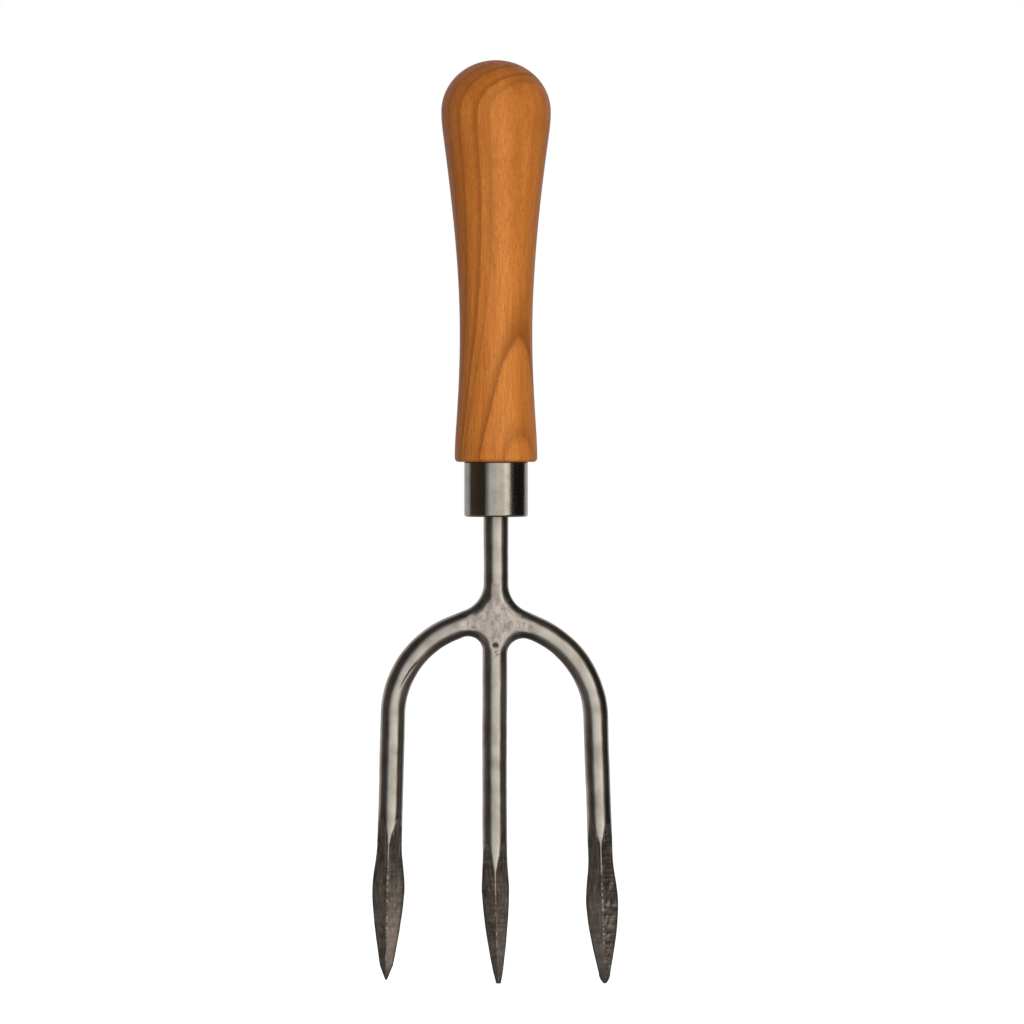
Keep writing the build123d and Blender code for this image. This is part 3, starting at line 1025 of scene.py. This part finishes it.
@dataclass
class Head:
    """The steel head: tang and neck, crown and three tines, all of one bar size."""

    bar: Bar = field(default_factory=Bar)
    neck_start: float = 1.5
    neck_straight: float = 3.0
    neck_bend_radius: float = 60.0
    lean: float = 7.0
    crown_drop: float = 29.6
    upper_fillet: float = 9.2
    lower_fillet: float = 4.8
    upper_land: float = 1.2
    lower_land: float = 0.3
    bend_start: float = 35.5
    bend_radius: float = 170.0
    bend_angle: float = 8.5
    tang_length: float = 68.0
    tang_root: float = 5.0
    tang_tip: float = 3.0
    set_over: float = -0.4  # the middle tine leaves the crown this far out of line with the neck
    set_over_from: float = 5.3
    tine_calm: float = 8.0  # length over which a bar's unevenness fades towards its neighbour
    neck_calm: float = 4.0
    neck_seed: int = 51
    tines: tuple = (
        Tine(Side.LEFT, 146.0,
             Spear(length=43.0, widest_from_tip=28.6, flare=1.20, bevel_length=4.5,
                  bevel_half_width=2.05, tip_half_width=0.30, tip_roundness=1.0,
                  facets_start=-11.0, ridge_from=1.5, ridge_shift=-0.25,
                  ground=(0.20, 0.35), slant=-48.0, painted_facet_light=(0.0, 1.0)),
             arm_slope=22.0, arm_straight=1.4, shoulder_radius=30.4, splay=1.5,
             groove=Groove((17.5, 4.4), (27.5, 5.3), half_width=0.30, depth=0.16), seed=21),
        Tine(Side.MIDDLE, 147.2,
             Spear(length=41.0, widest_from_tip=29.4, flare=0.45, bevel_length=4.2,
                  bevel_half_width=1.65, tip_half_width=0.75, tip_roundness=1.0,
                  facets_start=-7.0, ridge_from=9.0, ridge_shift=0.0,
                  ground=(0.55, 0.45), slant=55.0, painted_facet_light=(0.15, 0.45)),
             bow=Bow(first=-1.6, then=2.75), seed=31),
        Tine(Side.RIGHT, 147.1,
             Spear(length=40.0, widest_from_tip=25.4, flare=1.22, bevel_length=3.4,
                  bevel_half_width=1.85, tip_half_width=0.45, tip_roundness=2.2,
                  facets_start=-13.0, ridge_from=-1.5, ridge_shift=0.15,
                  ground=(0.25, 1.0), slant=52.0, painted_facet_light=(0.45, 0.20)),
             arm_slope=24.5, arm_straight=0.4, shoulder_radius=31.5, splay=2.0, seed=41),
    )

    def __post_init__(self) -> None:
        """Works out the neck's line, and the crown's centre and directions at the end of it."""
        self.across = np.array([1.0, 0.0, 0.0])
        down = np.array([0.0, 0.0, -1.0])
        leaning = CentreLine(down * -self.neck_start, down, self.across)
        leaning.run(self.neck_start + self.neck_straight).bend(self.neck_bend_radius, self.lean, self.across)
        self.down = leaning.heading
        self.facing = np.cross(self.across, self.down)
        to_centre = (self.crown_drop + leaning.start[2]) / -self.down[2]
        self.centre = leaning.start + self.down * to_centre
        outer = [tine for tine in self.tines if tine.side is not Side.MIDDLE]
        self.neck_reach = self.upper_land + max(self.fillet_reach(90 + tine.arm_slope, self.upper_fillet)
                                                for tine in outer)
        self.middle_reach = max(self.arm_reach(tine) for tine in outer)
        self.neck_line = leaning.run(to_centre - self.neck_reach)

    def fillet_reach(self, angle: float, radius: float) -> float:
        """How far a fillet between two limbs runs along them, from where their centre lines meet."""
        return (self.bar.radius + radius) / np.tan(np.radians(angle / 2))

    def arm_reach(self, tine: Tine) -> float:
        """How far the crown reaches along an arm."""
        return self.fillet_reach(90 - tine.arm_slope, self.lower_fillet) + self.lower_land

    def tine_line(self, tine: Tine) -> CentreLine:
        """A tine's centre line from the crown: arm and shoulder in its plane, then the forward bend."""
        slope = np.radians(tine.arm_slope)
        out = self.across * (tine.side.value * np.cos(slope)) + self.down * np.sin(slope)
        reach = self.middle_reach if tine.side is Side.MIDDLE else self.arm_reach(tine)
        start = self.centre + out * reach
        if tine.side is Side.MIDDLE:
            start = start + self.across * self.set_over
        line = CentreLine(start, out, np.cross(-self.facing, out))
        if tine.side is Side.MIDDLE:
            line.run(self.bend_start - reach)
        else:
            turn = (90.0 - tine.splay - tine.arm_slope) * tine.side.value
            line.run(tine.arm_straight).bend(tine.shoulder_radius, turn, self.facing)
        line.bend(self.bend_radius, -self.bend_angle, line.side)
        to_tip = (tine.tip_drop + line.start[2]) / -line.heading[2]
        return line.run(to_tip)

    def make_tine(self, tine: Tine) -> bpy.types.Object:
        """A tine: the bar along its line with its forged point and marks."""
        line = self.tine_line(tine)
        skin = self.bar.skin(line, tine.point, tine.bow, tine.seed, self.tine_calm)
        if tine.groove is not None:
            tine.groove.cut(skin, line)
        return skin.to_object(f"{tine.label}_forged_tine")

    def make_neck(self) -> bpy.types.Object:
        """The neck: the bar along its leaning line."""
        return self.bar.skin(self.neck_line, None, None, self.neck_seed, self.neck_calm).to_object("neck_bar")

    def make_tang(self) -> bpy.types.Object:
        """The tang: a square section with softened corners that tapers up the handle's socket.

        Its radius in each direction is that of a tenth-power oval of the local half width.
        """
        share = np.linspace(0.0, 1.0, 40)
        half = 0.5 * (self.tang_root + (self.tang_tip - self.tang_root) * share)
        across, forward = circle(self.bar.columns).T
        oval = (np.abs(across) ** 10 + np.abs(forward) ** 10) ** -0.1
        ring = np.stack([across * oval, forward * oval], axis=-1)
        heights = self.neck_start + share * self.tang_length
        points = raised(half[:, None, None] * ring, heights)
        around = np.linspace(0.0, 4.0 * self.tang_root, self.bar.columns + 1)
        masks = blank_masks(points.shape[:2])
        masks["scaled"] += 0.6
        masks["down_point"] += 0.5
        return Skin(points, heights, around, masks).to_object("driven_tang")

    def build(self) -> None:
        """Makes the neck, the tang, the crown and the tines, and dresses them in the one bar steel."""
        steel = BarSteel().material()
        settle(self.make_neck(), "neck_and_tang", steel)
        settle(self.make_tang(), "neck_and_tang", steel)
        settle(Crown(self).make(), "crown", steel)
        for tine in self.tines:
            settle(self.make_tine(tine), f"{tine.label}_tine", steel)


@dataclass
class Limb:
    """A limb of the crown in its own plane: its direction in degrees from +X, and how far it reaches."""

    degrees: float
    reach: float

    @property
    def out(self) -> Array:
        """Its direction."""
        return np.array([np.cos(np.radians(self.degrees)), np.sin(np.radians(self.degrees))])

    @property
    def flank(self) -> Array:
        """The direction square to it, a quarter turn on."""
        return np.array([-self.out[1], self.out[0]])


@dataclass
class Web:
    """The rounded corner between two neighbouring limbs."""

    first: Limb
    then: Limb
    radius: float
    bar: float

    def __post_init__(self) -> None:
        """Works out how far the corner's arc runs along both limbs, and its centre."""
        half = 0.5 * np.radians((self.then.degrees - self.first.degrees) % 360.0)
        self.run = (self.bar + self.radius) / np.tan(half)
        self.middle = unit(self.first.out + self.then.out) * (self.bar + self.radius) / np.sin(half)

    def outline(self, count: int) -> Array:
        """Points from the end of the first limb's flank, in to the arc, round it, and out the next limb."""
        begin = self.first.out * self.run + self.first.flank * self.bar
        finish = self.then.out * self.run - self.then.flank * self.bar
        start, end = (np.arctan2(*(corner - self.middle)[::-1]) for corner in (begin, finish))
        sweep = (end - start + np.pi) % (2.0 * np.pi) - np.pi
        angle = start + sweep * np.linspace(0.0, 1.0, count)
        arc = self.middle + self.radius * np.stack([np.cos(angle), np.sin(angle)], axis=-1)
        inward = np.linspace(self.first.reach, self.run, 5)
        outward = np.linspace(self.run, self.then.reach, 5)
        before = self.first.flank * self.bar + inward[:, None] * self.first.out
        after = outward[:, None] * self.then.out - self.then.flank * self.bar
        return np.concatenate([before[:-1], arc, after[1:]])

    def distance(self, places: Array) -> Array:
        """How far inside this corner's edge each place is: from its arc, or past the arc from a flank."""
        from_arc = np.linalg.norm(places - self.middle, axis=-1) - self.radius
        past_first, past_then = places @ self.first.out > self.run, places @ self.then.out > self.run
        from_first = self.bar - places @ self.first.flank
        from_then = self.bar + places @ self.then.flank
        return np.where(past_first, from_first, np.where(past_then, from_then, from_arc))


@dataclass
class Crown:
    """The forged crown: four limbs of round bar that run into a web, dressed flat in front and behind."""

    head: Head
    dressed_depth: float = 3.48  # from the middle of the crown's thickness to the dressed face
    dressed_rise: float = 0.27  # how much further out that face is at the reach of its domed edge
    dressed_reach: tuple = (14.5, 9.2)
    back_depth: float = 3.62
    web_round: float = 0.45  # how much rounder than the bar the crown's edges are between its limbs
    softness: float = 34.0
    web_ease: tuple = (0.42, 0.5)  # share of a limb's reach where that ends, and over what share
    land_ease: tuple = (0.80, 0.18)  # and where the dressed faces run out to the round bar
    dressed_edge: tuple = (0.07, 0.10)  # how far before the dressed face its look starts, and over what depth
    pit_at: tuple = (0.0, -10.4)
    pit_size: tuple = (0.72, 0.85)
    pit_depth: float = 0.36
    pit_rough: tuple = (1.7, 0.8)
    nick_at: tuple = (-7.0, -4.9)
    nick_size: tuple = (0.70, 0.28)
    nick_share: float = 0.50  # how deep the nick is beside the pit
    trail_at: tuple = (0.4, -13.4)  # the loose specks below the pit
    trail_size: tuple = (0.85, 1.5)
    trail_rough: tuple = (-0.45, 1.3)
    speckle: float = 1.1  # wavelength of the roughness in the pit and the trail
    waviness: tuple = ((0.085, 7.0), (0.030, 2.6))  # height and wavelength of the dressed face's unevenness
    seed: int = 61
    first_ring: float = 0.012  # radians of a quarter turn at which the rings start
    across_limb: int = 33
    along_arc: int = 40
    rings: int = 46

    def limbs(self) -> list[Limb]:
        """The limbs, anticlockwise from the right arm."""
        left, _, right = self.head.tines
        return [Limb(-right.arm_slope, self.head.arm_reach(right)), Limb(90.0, self.head.neck_reach),
                Limb(180.0 + left.arm_slope, self.head.arm_reach(left)), Limb(270.0, self.head.middle_reach)]

    def webs(self) -> list[Web]:
        """The corners between the limbs, in the same order."""
        limbs, bar = self.limbs(), self.head.bar.radius
        radii = (self.head.upper_fillet,) * 2 + (self.head.lower_fillet,) * 2
        return [Web(limb, limbs[(index + 1) % 4], radii[index], bar) for index, limb in enumerate(limbs)]

    def outline(self, webs: list[Web]) -> Array:
        """The edge: across each limb's end as evenly as round its bar, then along the corner after it."""
        turn = np.linspace(0.0, np.pi, self.across_limb)[:-1]
        parts = []
        for web in webs:
            limb = web.first
            parts.append(limb.out * limb.reach - np.cos(turn)[:, None] * limb.flank * self.head.bar.radius)
            parts.append(web.outline(self.along_arc)[:-1])
        return np.concatenate(parts)

    def depths(self, places: Array, webs: list[Web]) -> tuple[Array, Array, Array]:
        """Half depth in front and behind, and how far the front is dressed, at each place.

        The bare depth is that of a round edge of the bar's radius: the root of the radius squared less the
        square of what the distance from the edge falls short of it. The dressed faces then take off whatever
        stands past them, the front one slightly domed.

        Args:
            places: places in the crown's plane.
            webs: its corners.

        Returns:
            Depth in front, depth behind, and the dressed mask from 0 to 1.
        """
        bar = self.head.bar.radius
        inside = np.min([web.distance(places) for web in webs], axis=0)
        ends = np.max([places @ limb.out / limb.reach for limb in self.limbs()], axis=0)
        edge = bar * (1.0 + self.web_round * (1.0 - ease((ends - self.web_ease[0]) / self.web_ease[1])))
        bare = bar * np.sqrt(np.clip(1.0 - (1.0 - np.clip(inside / edge, 0.0, 1.0)) ** 2, 0.0, None))
        dome = self.dressed_depth + self.dressed_rise * ((places / self.dressed_reach) ** 2).sum(axis=-1)
        front = self.softened(bare, dome)
        back = self.softened(bare, np.full_like(bare, self.back_depth))
        run_out = ease((ends - self.land_ease[0]) / self.land_ease[1])
        back = back + (bare - back) * run_out
        front = front + (bare - front) * run_out
        begin, over = self.dressed_edge
        return front, back, ease((bare - dome + begin) / over) * (1.0 - run_out)

    def softened(self, first: Array, second: Array) -> Array:
        """The smaller of two depths, with the edge between them softened."""
        floor = 1e-3
        power = self.softness
        least = (np.maximum(first, floor) ** -power + second**-power) ** (-1.0 / power)
        return np.where(first > floor, least, first)

    def make(self) -> bpy.types.Object:
        """The crown: rings shrunk from its edge to its centre, in front and behind, lifted to their depth."""
        webs = self.webs()
        edge = self.outline(webs)
        share = np.sin(np.linspace(self.first_ring, np.pi / 2, self.rings))
        share[-1] = 1.0
        places = share[:, None, None] * edge[None]
        front, back, dressed = self.depths(places, webs)
        pit, nick, trail = (bell(places, at, size) for at, size in (
            (self.pit_at, self.pit_size), (self.nick_at, self.nick_size), (self.trail_at, self.trail_size)))
        rough = ripple(np.concatenate([places, places[..., :1]], axis=-1), self.speckle, self.seed)
        in_pit, in_trail = (least + more * rough for least, more in (self.pit_rough, self.trail_rough))
        pitted = np.clip((pit + self.nick_share * nick) * in_pit + trail * in_trail, 0.0, 1.0)
        inner = 1.0 - ease(share)[:, None] ** 6
        lifted = np.concatenate([places, front[..., None]], axis=-1)
        uneven = inner * rippled(lifted, self.waviness, self.seed + 1)
        front = front - self.pit_depth * pitted + uneven * np.minimum(front, 1.0)
        head = self.head
        below = (-places[..., 1] - head.set_over_from) / (head.middle_reach - head.set_over_from)
        places[..., 0] += head.set_over * ease(below)
        places = np.concatenate([places, places[::-1]])
        depth = np.concatenate([front, -back[::-1]])
        points = self.in_space(places, depth)
        masks = blank_masks(depth.shape)
        masks["dressed"][:self.rings] = dressed
        masks["pitted"][:self.rings] = pitted
        around = travelled(np.concatenate([edge, edge[:1]]))
        rows = np.concatenate([share, 2.0 - share[::-1]]) * head.neck_reach
        return Skin(points, rows, around, masks).to_object("forged_crown", weld=True)

    def in_space(self, places: Array, depth: Array) -> Array:
        """Places in the crown's plane, up along the neck, carried to space and brought forward by depth."""
        head = self.head
        return (head.centre + places[..., :1] * head.across - places[..., 1:] * head.down
                - depth[..., None] * head.facing)


# ---------------------------------------------------------------- placing and staging


def settle(piece: bpy.types.Object, node: str, material: bpy.types.Material) -> None:
    """Dresses a finished piece, rides it on the tool's one body and hides the imported part that it stands for.
    """
    piece.data.materials.append(material)
    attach(piece, BODY)
    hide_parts(node)
    log.info("%s stands for %s: %d faces", piece.name, node, len(piece.data.polygons))


@dataclass
class Panel:
    """A soft light panel that faces the tool, placed round it from the front."""

    name: str
    bearing: float  # degrees from the front, to the right
    spread: float  # degrees that it covers across
    lift: float  # degrees above level
    tall: float  # degrees that it covers upwards
    radiance: float
    colour: tuple
    distance: float = 1.1
    glossy: bool = True  # whether it is mirrored, or only gives light

    def hang(self, towards: Vector) -> None:
        """Adds the light, with the power that gives its radiance over its area."""
        width, height = (2.0 * self.distance * np.tan(np.radians(angle / 2))
                         for angle in (self.spread, self.tall))
        light = bpy.data.lights.new(self.name, "AREA")
        light.shape = "RECTANGLE"
        light.size, light.size_y = width, height
        light.energy = 4.0 * width * height * self.radiance
        light.color = self.colour
        lamp = linked(self.name, light)
        bearing, lift = np.radians(self.bearing), np.radians(self.lift)
        away = Vector((np.sin(bearing) * np.cos(lift), -np.cos(bearing) * np.cos(lift), np.sin(lift)))
        lamp.location = towards + away * self.distance
        lamp.rotation_euler = away.to_track_quat("Z", "Y").to_euler()
        lamp.visible_camera = False
        lamp.visible_glossy = self.glossy


@dataclass
class Band:
    """A part of the room, whose share rises between two values of how far a heading points its way."""

    towards: tuple
    low: float
    high: float
    colour: tuple


@dataclass
class Studio:
    """A pale floor under the points, soft panels in front, a white wall behind, and the camera."""

    aim: tuple = (5.0 * MM, 0.0, 1.5 * MM)
    pitch: float = 0.5
    distance: float = 1.606
    lens: float = 180.0
    sensor: float = 36.0
    view_end: float = 60.0
    floor_radius: float = 9.0
    floor_thickness: float = 40.0  # millimetres
    floor_glow: float = 0.85
    paper: tuple = (0.90, 0.90, 0.895)
    paper_dull: tuple = (0.87, 0.87, 0.87)
    paper_grain: Mottle = Mottle(0.02, 0.3, 0.7, detail=3.0)
    room_dark: tuple = (0.020, 0.018, 0.016)
    bands: tuple = (
        Band((-1.0, 0.0, 0.0), 0.75, 0.97, (0.120, 0.085, 0.060)),
        Band((0.0, 0.0, 1.0), 0.30, 0.70, (0.060, 0.046, 0.038)),
        Band((-np.sin(WALL_TURN), np.cos(WALL_TURN), 0.0), 0.43, 0.54, (0.85, 0.85, 0.85)),
        Band((0.0, 0.0, -1.0), 0.28, 0.50, (0.25, 0.212, 0.200)),
        Band((0.0, 0.0, -1.0), 0.74, 0.90, (0.070, 0.060, 0.060)),
    )
    panels: tuple = (
        Panel("cool_panel", -14.5, 23.0, 0.0, 84.0, 1.10, (0.93, 0.99, 1.00)),
        Panel("cool_edge", -32.0, 11.0, 0.0, 84.0, 0.32, (0.96, 0.99, 1.00)),
        Panel("warm_panel", 16.5, 37.0, 0.0, 84.0, 1.30, (1.00, 0.955, 0.88)),
        Panel("warm_strip", 42.0, 18.0, 0.0, 50.0, 1.75, (1.00, 0.95, 0.86)),
        Panel("front_fill", 4.0, 50.0, 12.0, 60.0, 0.95, (1.00, 0.98, 0.95), glossy=False),
    )

    def lay_floor(self) -> None:
        """The floor: a wide disc at the height of the lowest point, sampled as rings round its middle."""
        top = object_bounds()[0][2] / MM
        rings = np.geomspace(50.0, self.floor_radius / MM, 12)
        radii, heights = np.append(rings, rings[-1]), np.append(np.full(12, top), top - self.floor_thickness)
        skin = Skin(lathe(radii[::-1], heights[::-1], 64), radii[::-1], np.linspace(0.0, 1.0, 65))
        floor = skin.to_object("pale_floor")
        tree = Recipe("pale_floor_paper")
        paper = tree.mix(tree.share(self.paper_grain), self.paper, self.paper_dull)
        floor.data.materials.append(tree.finish(
            {"Base Color": paper, "Roughness": 0.9, "Specular IOR Level": 0.1,
             "Emission Color": (1.0, 1.0, 1.0, 1.0), "Emission Strength": self.floor_glow},
            tree.noise(self.paper_grain), 0.01))
        floor.visible_glossy = floor.visible_diffuse = floor.visible_shadow = False
        floor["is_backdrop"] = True

    def light_the_room(self) -> None:
        """The room round the tool: white behind it, dark to its sides and above, dim warm light from below.

        What the eye meets directly is plain white, so that the tool stands on a clean ground from every side.
        """
        world = bpy.data.worlds.new("studio_room")
        bpy.context.scene.world = world
        world.use_nodes = True
        tree = Nodes(world.node_tree)
        heading = tree.step("ShaderNodeTexCoord", {}, "Generated")
        room = self.room_dark
        for band in self.bands:
            facing = tree.step("ShaderNodeVectorMath", {0: heading, 1: band.towards}, "Value",
                               operation="DOT_PRODUCT")
            room = tree.mix(tree.spread(facing, band.low, band.high), room, band.colour)
        shown = tree.mix(tree.step("ShaderNodeLightPath", {}, "Is Camera Ray"), room, (1.0, 1.0, 1.0))
        background = tree.step("ShaderNodeBackground", {"Color": shown})
        tree.add("ShaderNodeOutputWorld", {"Surface": background})

    def place_camera(self) -> None:
        """The camera: level with the ferrule, in front, pitched slightly down."""
        lens = bpy.data.cameras.new("studio_camera")
        lens.lens, lens.sensor_width, lens.clip_end = self.lens, self.sensor, self.view_end
        camera = linked("studio_camera", lens)
        pitch = np.radians(self.pitch)
        back = Vector((0.0, -np.cos(pitch), np.sin(pitch)))
        camera.location = Vector(self.aim) + back * self.distance
        camera.rotation_euler = back.to_track_quat("Z", "Y").to_euler()
        bpy.context.scene.camera = camera

    def build(self) -> None:
        """Sets the floor, the light and the camera, and plain colours without a film curve."""
        self.lay_floor()
        self.light_the_room()
        for panel in self.panels:
            panel.hang(Vector(self.aim))
        self.place_camera()
        bpy.context.scene.view_settings.view_transform = "Standard"


def main() -> None:
    """Builds the grip, the head and the studio, in that order."""
    logging.basicConfig(level=logging.INFO, format="%(name)s: %(message)s")
    Grip().build()
    Head().build()
    Studio().build()


if __name__ == "__main__":
    main()
